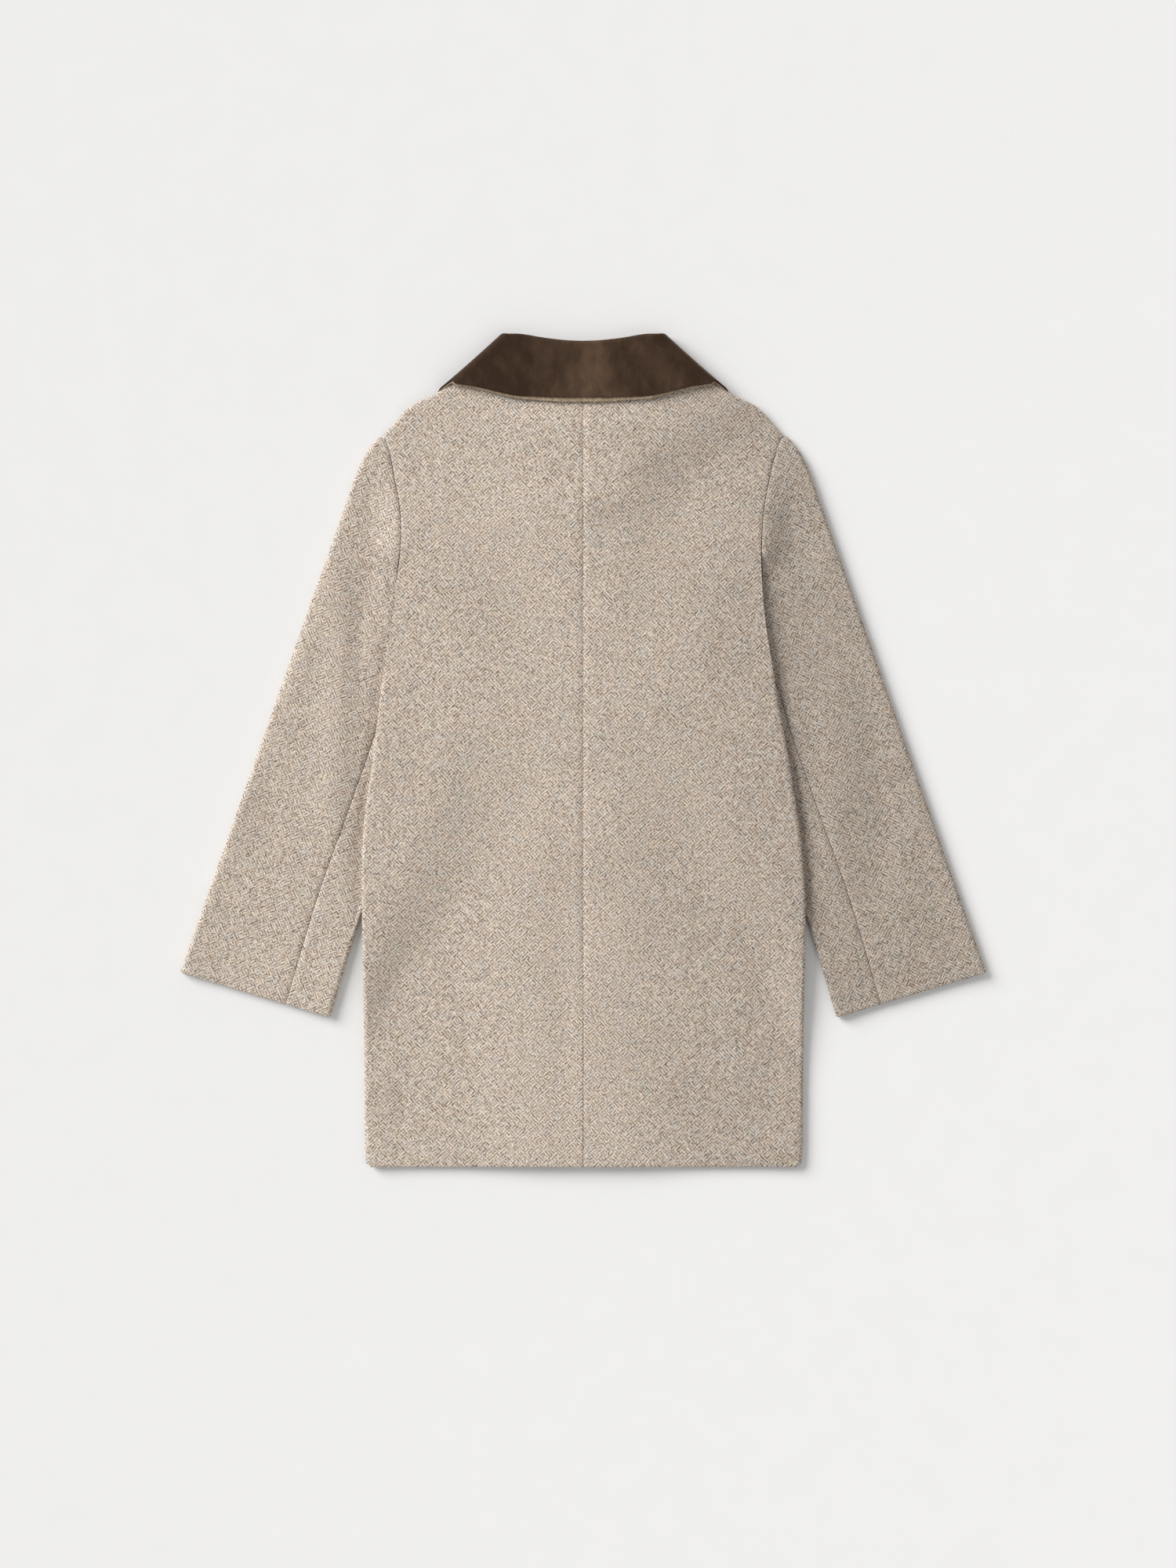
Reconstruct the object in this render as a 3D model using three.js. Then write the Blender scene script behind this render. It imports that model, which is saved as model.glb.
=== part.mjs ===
// A child's wool coat with a velvet collar, laid flat with its back up.
// Millimetres. +Y runs from the hem to the collar, +X is the wearer's right, Z = 0 is the surface it lies on.
import * as THREE from "three";

// Cloth and the way its layers lie
const CLOTH = 2.6;
const VELVET = 1.8;
const COLLAR_CLOTH = 1.4;
const SEAM = 0.3;
const ARMHOLE_SEAM = 0.6;
const FOLD_SEAM = 1.8;
const LAYER_GAP = 0.9;
const STEP = CLOTH + LAYER_GAP;
const SLEEVE_LAYERS = 2 * STEP;
const SIDE_PUFF = 3;
const SLEEVE_PUFF = 3;
const PUFF_WIDTH = 30;

// Outline of the body
const HEM_Y = -335;
const SHOULDER_TIP_Y = 252.5;
const UNDERARM_Y = 56;
const CENTRE_BACK_GAP = SEAM / 2;
const SIDE_FOLD_TOP = UNDERARM_Y - 18;
const SIDE_FOLD_FADE = 40;

// Half widths of the back: the side from the hem to the underarm, then the armhole up to the shoulder tip
const BACK_EDGE = [
  { y: -335, left: 174.4, right: 175.0 },
  { y: -320, left: 175.4, right: 176.2 },
  { y: -217, left: 176.4, right: 177.0 },
  { y: -132, left: 177.7, right: 178.3 },
  { y: -91, left: 177.7, right: 176.4 },
  { y: -53, left: 175.5, right: 171.9 },
  { y: -15, left: 169.8, right: 166.0 },
  { y: 29, left: 164.4, right: 158.1 },
  { y: 67, left: 159.4, right: 151.6 },
  { y: 101, left: 153.1, right: 146.2 },
  { y: 133, left: 149.6, right: 143.3 },
  { y: 161, left: 146.5, right: 142.6 },
  { y: 191, left: 146.8, right: 144.6 },
  { y: 217, left: 151.5, right: 149.3 },
  { y: 236, left: 155.0, right: 153.7 },
  { y: 252.5, left: 160.2, right: 160.2 },
];

// How far inside the back armhole the front armhole lies
const FRONT_SCOOP = [
  { y: 56, inset: 0 },
  { y: 75, inset: 7 },
  { y: 100, inset: 13 },
  { y: 150, inset: 15 },
  { y: 200, inset: 9 },
  { y: 235, inset: 3 },
  { y: 252.5, inset: 0 },
];

// Top of the back: neck seam, then shoulder, by the distance from the centre
const BACK_TOP = [
  { x: 0, y: 303 },
  { x: 30, y: 303.6 },
  { x: 50, y: 305 },
  { x: 72, y: 305 },
  { x: 86, y: 299.5 },
  { x: 100, y: 292.5 },
  { x: 115, y: 283.6 },
  { x: 130, y: 279.5 },
  { x: 140, y: 274.2 },
  { x: 160.2, y: 252.5 },
];

// Top of the fronts: the neck is cut lower than at the back
const FRONT_TOP = [
  { x: -20, y: 260 },
  { x: 0, y: 261 },
  { x: 22, y: 265 },
  { x: 36, y: 272 },
  { x: 50, y: 283 },
  { x: 72, y: 303 },
  { x: 86, y: 299.5 },
  { x: 100, y: 292.5 },
  { x: 115, y: 283.6 },
  { x: 130, y: 279.5 },
  { x: 140, y: 274.2 },
  { x: 160.2, y: 252.5 },
];
const SHOULDER_START_X = 62;

// Sleeve: cross sections run inward and down at this slope, so a section is named by level = y - slope * x
const SECTION_SLOPE = 0.3;
const CUFF_LEVEL = -276.2;
const CAP_LEVEL = 200.5;
const FOLD_TOP_LEVEL = 105;
const UNDERARM_LEVEL = 12;
const SLEEVE_OUTER = [
  { y: -200, x: 331.2 },
  { y: -179, x: 323.8 },
  { y: -60, x: 281.8 },
  { y: 60, x: 239.4 },
  { y: 160, x: 204 },
  { y: 199, x: 190.3 },
  { y: 218, x: 183.6 },
  { y: 237, x: 174.8 },
  { y: 254, x: 161.4 },
];
const SLEEVE_INNER = [
  { y: -260, x: 216.7 },
  { y: -215, x: 202.9 },
  { y: -135, x: 178.3 },
  { y: -80, x: 157 },
  { y: -32, x: 138 },
  { y: 10, x: 122 },
  { y: 50, x: 112 },
  { y: 90, x: 110 },
  { y: 143, x: 120 },
];
// Share of a section's width from the outer fold to the back seam, and from the inner fold to the front seam
const BACK_SEAM_SHARE = [
  { level: -276, share: 0.703 },
  { level: 12, share: 0.65 },
];
const FRONT_SEAM_WIDTH = 24;
const FRONT_SEAM_START = 6;
const FRONT_SEAM_SPREAD = 70;
const CROSSING_TURNS = 14;

// The body's edge laps over the sleeve below the top of the inner fold
const ARMHOLE_LAP = 4;
const ARMHOLE_LAP_LEVEL = FOLD_TOP_LEVEL - 6;
const ARMHOLE_LAP_FADE = 30;

// The back seam of the sleeve leaves the armhole over this stretch of levels about the underarm
const SEAM_LEAVES_OVER = 28;

// Folds grow rounder over these levels: the inner one towards the cuff, the outer one below the cap
const INNER_PUFF_LEVEL = -196;
const INNER_PUFF_FADE = 40;
const OUTER_PUFF_FADE = 30;

// The top of the sleeve follows the height of the body's edge at the armhole
const FOLLOW_LEVEL = FOLD_TOP_LEVEL + 12;
const FOLLOW_FADE = 14;
const FOLLOW_BELOW = 0.5;
const FOLLOW_END_LEVEL = 70;
const FOLLOW_END_FADE = 60;
const FOLLOW_WIDTH = 40;

// Ramps where the body climbs over what lies under it
const SLEEVE_RAMP = 34;
const SLEEVE_RAMP_CLEAR = 8;
const COLLAR_RAMP = 45;
const COLLAR_RAMP_CLEAR = 4;

// Front closure
const OVERLAP = 18;
const OVERLAP_CLEAR = 7;
const OVERLAP_RAMP = 30;
const OVERLAP_FADE = { from: 256, to: 292 };
const BUTTON_Y = [176, 102, 28, -46];
const BUTTON_RADIUS = 10;
const BUTTON_THICK = 2.4;
const BUTTON_SEAT = 0.4;
const BUTTON_RAMP = 22;
const BUTTON_ROW_RAMP = 60;

// Collar: plan of the fold line and of the lower edge, from the centre back to the side
const COLLAR_BACK = [
  { foldX: 0, foldY: 323.2, edgeX: 0, edgeY: 281.5 },
  { foldX: 12, foldY: 323.5, edgeX: 18, edgeY: 281.3 },
  { foldX: 24, foldY: 324.4, edgeX: 36, edgeY: 282.2 },
  { foldX: 36, foldY: 325.6, edgeX: 53, edgeY: 282.8 },
  { foldX: 47, foldY: 326.9, edgeX: 69, edgeY: 286 },
  { foldX: 56, foldY: 327.6, edgeX: 86, edgeY: 289.4 },
];
const COLLAR_FRONT = [
  { foldX: 48, foldY: 312, edgeX: 92, edgeY: 268.5 },
  { foldX: 28, foldY: 290, edgeX: 56, edgeY: 247.5 },
  { foldX: 8, foldY: 268, edgeX: 16, edgeY: 226 },
];
const COLLAR_SIDE = { foldX: 66.6, foldY: 332.5, edgeX: 115.3, edgeY: 289.4 };
const COLLAR_WRAP_WIDTH = 6;
const COLLAR_FOLD_RADIUS = 3.2;
const COLLAR_EDGE_SHIFT = { back: -13, front: 8 };
const COLLAR_POINT_LINE = { x: 20, y: 228, slope: 0.643 };
const UNDER_COLLAR_PROUD = { centre: 3.2, side: -1 };
const STAND_LENGTH = { centre: 19, side: 2 };

// Heights of the collar's layers: front fall, fronts, back, back fall
const COLLAR_SEAM = 0.75;
const COLLAR_DEPTH = VELVET / 2 + COLLAR_SEAM + COLLAR_CLOTH / 2;
const COLLAR_UNDER_FRONT = VELVET + COLLAR_SEAM + COLLAR_CLOTH + LAYER_GAP;
const COLLAR_TOP = COLLAR_UNDER_FRONT + STEP + CLOTH + 2 * LAYER_GAP + COLLAR_CLOTH + COLLAR_SEAM + VELVET;
const COLLAR_MIDDLE = COLLAR_TOP / 2;
const COLLAR_HALF_HEIGHT = (COLLAR_TOP - VELVET) / 2;

// Colours
const WOOL_COLOUR = 0xbcae9f;
const UNDER_COLLAR_COLOUR = 0xb29a7c;
const VELVET_COLOUR = 0x463528;
const BUTTON_COLOUR = 0x3d2c20;

const SIDES = [
  { name: "left", sign: -1 },
  { name: "right", sign: 1 },
];

// A smooth curve through a table's rows, as a function of one of its columns
function through(table, from, to) {
  const rows = [...table].sort((a, b) => a[from] - b[from]);
  const slopes = rows.map((row, i) => {
    const before = rows[Math.max(i - 1, 0)];
    const after = rows[Math.min(i + 1, rows.length - 1)];
    return (after[to] - before[to]) / (after[from] - before[from]);
  });
  return (at) => {
    let i = 1;
    while (i < rows.length - 1 && at > rows[i][from]) i += 1;
    const [a, b] = [rows[i - 1], rows[i]];
    const span = b[from] - a[from];
    const s = THREE.MathUtils.clamp((at - a[from]) / span, 0, 1);
    const rise = s * s * (3 - 2 * s);
    const leave = s * (1 - s) * (1 - s) * span * slopes[i - 1];
    const arrive = s * s * (s - 1) * span * slopes[i];
    return a[to] * (1 - rise) + b[to] * rise + leave + arrive;
  };
}

const smooth = (s) => THREE.MathUtils.smoothstep(s, 0, 1);
const fall = (s) => 1 - smooth(s);
const mix = THREE.MathUtils.lerp;

for (const side of SIDES) {
  side.edge = through(BACK_EDGE, "y", side.name);
  side.place = (x, y, z) => new THREE.Vector3(side.sign * x, y, z);
}
const scoop = through(FRONT_SCOOP, "y", "inset");
const backTop = through(BACK_TOP, "x", "y");
const frontTop = through(FRONT_TOP, "x", "y");
const sleeveOuter = through(SLEEVE_OUTER, "y", "x");
const sleeveInner = through(SLEEVE_INNER, "y", "x");
const backSeamShare = through(BACK_SEAM_SHARE, "level", "share");

// Where a sleeve section crosses an edge that is given as x by y
function crossing(edge, level) {
  let x = edge(level);
  for (let turn = 0; turn < CROSSING_TURNS; turn += 1) x = edge(level + SECTION_SLOPE * x);
  return x;
}

// Share of the way that the side seam is closed into a fold: 1 below the underarm, 0 at the armhole
const closed = (y) => fall((y - SIDE_FOLD_TOP) / SIDE_FOLD_FADE);

// Rise of the body over the part of the sleeve that lies under it
function sleeveRise(across, y) {
  const level = y - SECTION_SLOPE * across;
  const beside = Math.max(crossing(sleeveInner, Math.min(level, FOLD_TOP_LEVEL)) - across, 0);
  const above = Math.max(level - FOLD_TOP_LEVEL, 0);
  const away = Math.max(Math.hypot(beside, above) - SLEEVE_RAMP_CLEAR, 0);
  return SLEEVE_LAYERS * fall(away / SLEEVE_RAMP);
}

// Rise of the body over the collar's front ends
function collarRise(across, y) {
  const line = COLLAR_POINT_LINE;
  const below = (line.y + line.slope * (across - line.x) - y) / Math.hypot(1, line.slope);
  return COLLAR_UNDER_FRONT * fall((below - COLLAR_RAMP_CLEAR) / COLLAR_RAMP);
}

// Rise of the fronts over the row of buttons
function buttonRise(across, y) {
  const beside = fall((across - BUTTON_RADIUS - 1) / BUTTON_RAMP);
  const above = fall((y - BUTTON_Y[0] - 2 * BUTTON_RADIUS) / BUTTON_RAMP);
  const below = fall((BUTTON_Y.at(-1) - 2 * BUTTON_RADIUS - y) / BUTTON_ROW_RAMP);
  return (BUTTON_THICK + BUTTON_SEAT) * beside * above * below;
}

// Rise of a layer over the edge of the front that lies lowest at the closure
function overlapRise(x, y) {
  const beside = fall((x - OVERLAP - OVERLAP_CLEAR) / OVERLAP_RAMP);
  const above = fall((y - OVERLAP_FADE.from) / (OVERLAP_FADE.to - OVERLAP_FADE.from));
  return STEP * beside * above;
}

// Height of the underside of each panel
const bodyRise = (x, y) => sleeveRise(Math.abs(x), y) + collarRise(Math.abs(x), y) + buttonRise(Math.abs(x), y);
const frontRise = {
  right: (across, y) => bodyRise(across, y),
  left: (across, y) => bodyRise(across, y) + overlapRise(across, y),
};
function backRise(side, across, y) {
  const puff = SIDE_PUFF * closed(y) * fall((side.edge(y) - 2 * SIDE_PUFF - across) / PUFF_WIDTH);
  return bodyRise(across, y) + overlapRise(across, y) + STEP + puff;
}

// A closed wall of even thickness about a grid of middle points
function wall(rows, thickness) {
  const count = rows[0].length;
  const normals = rows.map((row, i) =>
    row.map((point, j) => {
      const down = rows[Math.max(i - 1, 0)][j];
      const up = rows[Math.min(i + 1, rows.length - 1)][j];
      const along = new THREE.Vector3().subVectors(up, down);
      const across = new THREE.Vector3().subVectors(row[Math.min(j + 1, count - 1)], row[Math.max(j - 1, 0)]);
      return along.cross(across).normalize();
    }),
  );
  const points = [];
  for (const face of [1, -1])
    rows.forEach((row, i) =>
      row.forEach((point, j) => points.push(point.clone().addScaledVector(normals[i][j], (face * thickness) / 2))),
    );
  const at = (face, i, j) => (face * rows.length + i) * count + j;
  const triangles = [];
  const quad = (a, b, c, d) => triangles.push(a, b, c, a, c, d);
  for (let i = 0; i + 1 < rows.length; i += 1) {
    for (let j = 0; j + 1 < count; j += 1) {
      quad(at(0, i, j), at(0, i + 1, j), at(0, i + 1, j + 1), at(0, i, j + 1));
      quad(at(1, i, j), at(1, i, j + 1), at(1, i + 1, j + 1), at(1, i + 1, j));
    }
    quad(at(0, i, 0), at(1, i, 0), at(1, i + 1, 0), at(0, i + 1, 0));
    quad(at(0, i, count - 1), at(0, i + 1, count - 1), at(1, i + 1, count - 1), at(1, i, count - 1));
  }
  const last = rows.length - 1;
  for (let j = 0; j + 1 < count; j += 1) {
    quad(at(0, 0, j), at(0, 0, j + 1), at(1, 0, j + 1), at(1, 0, j));
    quad(at(0, last, j), at(1, last, j), at(1, last, j + 1), at(0, last, j + 1));
  }
  return facingOut(new THREE.BufferGeometry().setFromPoints(points), triangles);
}

// Indexes a closed surface so that its faces point out
function facingOut(geometry, triangles) {
  const position = geometry.getAttribute("position");
  const [a, b, c] = [new THREE.Vector3(), new THREE.Vector3(), new THREE.Vector3()];
  let volume = 0;
  for (let i = 0; i < triangles.length; i += 3) {
    a.fromBufferAttribute(position, triangles[i]);
    b.fromBufferAttribute(position, triangles[i + 1]);
    c.fromBufferAttribute(position, triangles[i + 2]);
    volume += a.dot(b.cross(c));
  }
  if (volume < 0) triangles.reverse();
  geometry.setIndex(triangles);
  geometry.computeVertexNormals();
  return geometry;
}

// Steps along a curl that turns through a quarter circle when it is closed and runs straight when it is open
const CURL_STEPS = [0, 0.35, 0.7, 1];
function curl(radius, share) {
  const length = (radius * Math.PI) / 2 - FOLD_SEAM / 2;
  return CURL_STEPS.map((step) => {
    const angle = (share * step * length) / radius;
    if (share < 0.01) return { out: step * length, drop: 0 };
    return { out: (radius / share) * Math.sin(angle), drop: (radius / share) * (1 - Math.cos(angle)) };
  });
}

// Grid of a body panel: rows up the side or armhole edge, columns from the centre outward
const ROW_Y = [
  -335, -322, -290, -250, -210, -172, -138, -106, -76, -46, -16, 12, 38, 58, 78, 97, 114, 129, 143, 157, 172, 188,
  204, 219, 233,
];
const CENTRE_COLUMNS = [11, 22, 34, 48];
const OUTER_SHARES = [0.22, 0.42, 0.56, 0.68, 0.78, 0.88];

function bodyPanel(side, firstColumns, edge, top, rise, curlUp) {
  const near = CENTRE_COLUMNS.at(-1);
  const rowShares = ROW_Y.map((y) => (y - HEM_Y) / (SHOULDER_TIP_Y - HEM_Y));
  const tipCurl = curl(STEP / 2, 1);
  const tipLow = SHOULDER_TIP_Y - CLOTH / 2 - tipCurl.at(-1).out;
  const rows = [];
  const addRow = (share, topStep) => {
    const edgeY = mix(HEM_Y, tipLow, share) + (topStep === null ? 0 : tipCurl[topStep].out);
    const open = closed(edgeY);
    const radius = (STEP + SIDE_PUFF * open) / 2;
    const sideCurl = curl(radius, open);
    const start = edge(edgeY) - (open * CLOTH) / 2 - sideCurl.at(-1).out;
    const columns = [
      ...firstColumns.map((x) => ({ x, drop: 0 })),
      ...CENTRE_COLUMNS.map((x) => ({ x, drop: 0 })),
      ...OUTER_SHARES.map((s) => ({ x: mix(near, start, s), drop: 0 })),
      ...sideCurl.map((step) => ({ x: start + step.out, drop: step.drop })),
    ];
    rows.push(
      columns.map(({ x, drop }) => {
        const topX = (x / edge(edgeY)) * edge(SHOULDER_TIP_Y);
        const onShoulder = topX > SHOULDER_START_X ? 1 : 0;
        const shoulderCurl = curl(STEP / 2, onShoulder);
        const reach = top(x > 0 && x > near ? topX : x) - (onShoulder * CLOTH) / 2;
        const low = reach - shoulderCurl.at(-1).out;
        const step = topStep === null ? { out: 0, drop: 0 } : shoulderCurl[topStep];
        const y = HEM_Y + share * (low - HEM_Y) + step.out;
        const height = rise(x, y) + CLOTH / 2 + curlUp * (drop + step.drop);
        return side.place(x, y, height);
      }),
    );
  };
  for (const share of rowShares) addRow(share, null);
  tipCurl.forEach((step, i) => addRow(1, i));
  return wall(rows, CLOTH);
}

function backPanel(side) {
  const rise = (x, y) => backRise(side, x, y);
  return bodyPanel(side, [CENTRE_BACK_GAP], side.edge, backTop, rise, -1);
}

function frontPanel(side) {
  const edge = (y) => side.edge(y) - scoop(y);
  return bodyPanel(side, [-OVERLAP, -OVERLAP / 2, 0], edge, frontTop, frontRise[side.name], 1);
}

// One section of a sleeve: its folds, seams and armhole edges, all as x on that section
function sleeveSection(side, level) {
  const outer = crossing(sleeveOuter, level);
  const inner = crossing(sleeveInner, Math.min(level, FOLD_TOP_LEVEL));
  const backEdge = crossing(side.edge, level);
  const frontEdge = crossing((y) => side.edge(y) - scoop(y), level);
  const lap = mix(-ARMHOLE_SEAM, ARMHOLE_LAP, smooth((ARMHOLE_LAP_LEVEL - level) / ARMHOLE_LAP_FADE));
  const backSeam = outer - backSeamShare(level) * (outer - inner);
  const below = smooth((UNDERARM_LEVEL - level) / SEAM_LEAVES_OVER + 0.5);
  const upperStart = mix(backEdge - lap, backSeam, below);
  const upperEnd = mix(Math.min(frontEdge, upperStart - SEAM), upperStart - SEAM, below);
  const spread = smooth((FOLD_TOP_LEVEL - level) / FRONT_SEAM_SPREAD);
  const seamWidth = mix(FRONT_SEAM_START, FRONT_SEAM_WIDTH, spread);
  const lowerStart = level > FOLD_TOP_LEVEL ? frontEdge + ARMHOLE_SEAM : inner + seamWidth + SEAM;
  const innerPuff = SLEEVE_PUFF * smooth((INNER_PUFF_LEVEL - level) / INNER_PUFF_FADE);
  const outerPuff = SLEEVE_PUFF * smooth((CAP_LEVEL - level) / OUTER_PUFF_FADE);
  const underFold = smooth((FOLLOW_LEVEL - level) / FOLLOW_FADE);
  const follow = mix(1, FOLLOW_BELOW, underFold) * fall((FOLLOW_END_LEVEL - level) / FOLLOW_END_FADE);
  const seamRise = follow * (backRise(side, backEdge, level + SECTION_SLOPE * backEdge) - STEP);
  const height = (x) =>
    STEP +
    outerPuff * fall((outer - x) / PUFF_WIDTH) +
    innerPuff * fall((x - inner) / PUFF_WIDTH) +
    (x < upperStart ? 0 : seamRise * fall((x - backEdge) / FOLLOW_WIDTH));
  return { level, outer, inner, upperStart, upperEnd, lowerStart, seamWidth, outerPuff, innerPuff, height };
}

const FOLD_ANGLES = [30, 60, 90, 120, 150];
const UPPER_SHARES = [0, 0.2, 0.4, 0.6, 0.8, 1];

// Points of a half circle between the upper and the lower layer at a fold, sign +1 at the outer fold
function foldPoints(foldX, sign, puff) {
  const radius = (STEP + puff) / 2;
  const centre = foldX - sign * (CLOTH / 2 + radius);
  const points = FOLD_ANGLES.map((degrees) => {
    const angle = THREE.MathUtils.degToRad(degrees);
    return { x: centre + sign * radius * Math.sin(angle), z: CLOTH / 2 + radius * (1 + Math.cos(angle)) };
  });
  return { centre, points };
}

const SLEEVE_LEVELS = [
  CAP_LEVEL, 190, 178, 165, 151, 137, 124, 113, 105, 94, 80, 64, 48, 30, 12, -8, -32, -62, -96, -132, -168, -200, -228, -252,
  CUFF_LEVEL,
];

function sleeveWall(side, levels, profile) {
  const rows = levels.map((level) =>
    profile(sleeveSection(side, level)).map(({ x, z }) => side.place(x, level + SECTION_SLOPE * x, z)),
  );
  return wall(rows, CLOTH);
}

function topSleeve(side) {
  return sleeveWall(side, SLEEVE_LEVELS, (section) => {
    const fold = foldPoints(section.outer, 1, section.outerPuff);
    const upper = UPPER_SHARES.map((s) => {
      const x = mix(section.upperStart, fold.centre, s);
      return { x, z: section.height(x) + CLOTH / 2 };
    });
    const lower = UPPER_SHARES.map((s) => ({ x: mix(fold.centre, section.lowerStart, s), z: CLOTH / 2 }));
    return [...upper, ...fold.points, ...lower];
  });
}

function underSleeve(side) {
  const levels = SLEEVE_LEVELS.filter((level) => level <= FOLD_TOP_LEVEL);
  return sleeveWall(side, levels, (section) => {
    const fold = foldPoints(section.inner, -1, section.innerPuff);
    const upper = [0, 0.33, 0.67, 1].map((s) => {
      const x = mix(section.upperEnd, fold.centre, s);
      return { x, z: section.height(x) + CLOTH / 2 };
    });
    const lowerEnd = section.inner + section.seamWidth;
    const lower = [0, 0.5, 1].map((s) => ({ x: mix(fold.centre, lowerEnd, s), z: CLOTH / 2 }));
    return [...upper, ...fold.points, ...lower];
  });
}

// Plan direction out of the collar's side, and along it from the fold line to the lower edge
const sideAlong = new THREE.Vector3(
  COLLAR_SIDE.edgeX - COLLAR_SIDE.foldX,
  COLLAR_SIDE.edgeY - COLLAR_SIDE.foldY,
  0,
).normalize();
const sideOut = new THREE.Vector3(-sideAlong.y, sideAlong.x, 0);

// One row of the collar's right half: its fold and edge points, and the turn from back (0) to front (180)
function wrapRow(turn) {
  const angle = THREE.MathUtils.degToRad(turn);
  const inset = COLLAR_WRAP_WIDTH * (1 - Math.sin(angle)) + (VELVET / 2) * Math.sin(angle);
  const { back, front } = COLLAR_EDGE_SHIFT;
  const shift = turn < 90 ? back * (1 - turn / 90) : front * (turn / 90 - 1);
  const fold = new THREE.Vector3(COLLAR_SIDE.foldX, COLLAR_SIDE.foldY, 0).addScaledVector(sideOut, -inset);
  const edge = new THREE.Vector3(COLLAR_SIDE.edgeX, COLLAR_SIDE.edgeY, 0).addScaledVector(sideOut, -inset);
  edge.addScaledVector(sideAlong, shift);
  return { fold, edge, angle };
}

function flatRow(row, turn) {
  return {
    fold: new THREE.Vector3(row.foldX, row.foldY, 0),
    edge: new THREE.Vector3(row.edgeX, row.edgeY, 0),
    angle: THREE.MathUtils.degToRad(turn),
  };
}

const COLLAR_ROWS = [
  ...COLLAR_BACK.map((row) => flatRow(row, 0)),
  ...[0, 36, 72, 108, 144, 180].map(wrapRow),
  ...COLLAR_FRONT.map((row) => flatRow(row, 180)),
];

// Middle points of one row, a depth inside the velvet's middle surface
function collarPoints(row, depth, stand, foldAngles, shares, proud) {
  const { fold, edge, angle } = row;
  const out = new THREE.Vector3().addScaledVector(sideOut, Math.sin(angle));
  const inward = out.clone().multiplyScalar(-1).setZ(-Math.cos(angle));
  const middle = COLLAR_MIDDLE + COLLAR_HALF_HEIGHT * Math.cos(angle);
  const down = new THREE.Vector3().subVectors(edge, fold).normalize();
  const radius = COLLAR_FOLD_RADIUS - depth;
  const base = fold.clone().setZ(middle).addScaledVector(inward, depth);
  const points = stand.map((length) =>
    base.clone().addScaledVector(inward, 2 * radius).addScaledVector(down, length),
  );
  for (const degrees of foldAngles) {
    const turn = THREE.MathUtils.degToRad(degrees);
    points.push(
      base
        .clone()
        .addScaledVector(down, -radius * Math.sin(turn))
        .addScaledVector(inward, radius * (1 - Math.cos(turn))),
    );
  }
  const length = edge.distanceTo(fold) + proud;
  for (const share of shares) points.push(base.clone().addScaledVector(down, share * length));
  return points;
}

// The same rows on both sides, from the left front end round the back to the right one
function bothHalves(halfRows) {
  const mirrored = halfRows.slice(1).map((row) => row.map((p) => new THREE.Vector3(-p.x, p.y, p.z)));
  return [...mirrored.reverse(), ...halfRows];
}

function upperCollar() {
  const rows = COLLAR_ROWS.map((row) => collarPoints(row, 0, [], [120, 80, 40], [0, 0.25, 0.5, 0.75, 1], 0));
  return wall(bothHalves(rows), VELVET);
}

function underCollar() {
  const rows = COLLAR_ROWS.map((row) => {
    const aside = smooth(row.fold.x / COLLAR_SIDE.foldX);
    const proud = mix(UNDER_COLLAR_PROUD.centre, UNDER_COLLAR_PROUD.side, aside);
    const back = Math.cos(row.angle) > 0.99 ? 1 : 0;
    const stand = mix(STAND_LENGTH.side, STAND_LENGTH.centre, back * (1 - aside));
    return collarPoints(row, COLLAR_DEPTH, [stand], [180, 120, 60], [0, 0.33, 0.67, 1], proud);
  });
  return wall(bothHalves(rows), COLLAR_CLOTH);
}

// A turned button, its rim on the surface
function button() {
  const profile = [
    { r: 0, z: 0.6 },
    { r: 6.5, z: 0.6 },
    { r: 7.6, z: 0 },
    { r: 9, z: 0 },
    { r: BUTTON_RADIUS, z: 0.9 },
    { r: BUTTON_RADIUS, z: 1.8 },
    { r: 9.2, z: BUTTON_THICK },
    { r: 0, z: BUTTON_THICK },
  ];
  const lathe = new THREE.LatheGeometry(profile.map(({ r, z }) => new THREE.Vector2(r, z)), 18);
  return lathe.rotateX(Math.PI / 2);
}

function cloth(name, geometry, colour, roughness) {
  const material = new THREE.MeshStandardMaterial({ color: colour, roughness, metalness: 0 });
  const mesh = new THREE.Mesh(geometry, material);
  mesh.name = name;
  return mesh;
}

const coat = new THREE.Group();
for (const side of SIDES) {
  coat.add(
    cloth("back_" + side.name, backPanel(side), WOOL_COLOUR, 0.95),
    cloth("front_" + side.name, frontPanel(side), WOOL_COLOUR, 0.95),
    cloth("top_sleeve_" + side.name, topSleeve(side), WOOL_COLOUR, 0.95),
    cloth("under_sleeve_" + side.name, underSleeve(side), WOOL_COLOUR, 0.95),
  );
}
coat.add(
  cloth("upper_collar", upperCollar(), VELVET_COLOUR, 0.85),
  cloth("under_collar", underCollar(), UNDER_COLLAR_COLOUR, 0.9),
);
BUTTON_Y.forEach((y, i) => {
  const mesh = cloth("button_" + (i + 1), button(), BUTTON_COLOUR, 0.4);
  mesh.position.set(0, y, 0);
  coat.add(mesh);
});

// The origin is the middle of the coat's plan, on the surface it lies on
const box = new THREE.Box3().setFromObject(coat);
for (const mesh of coat.children) {
  mesh.position.x -= (box.min.x + box.max.x) / 2;
  mesh.position.y -= (box.min.y + box.max.y) / 2;
}

export default coat;
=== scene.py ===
"""A child's wool coat with a velvet collar, laid flat with its back up."""

import math

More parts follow.
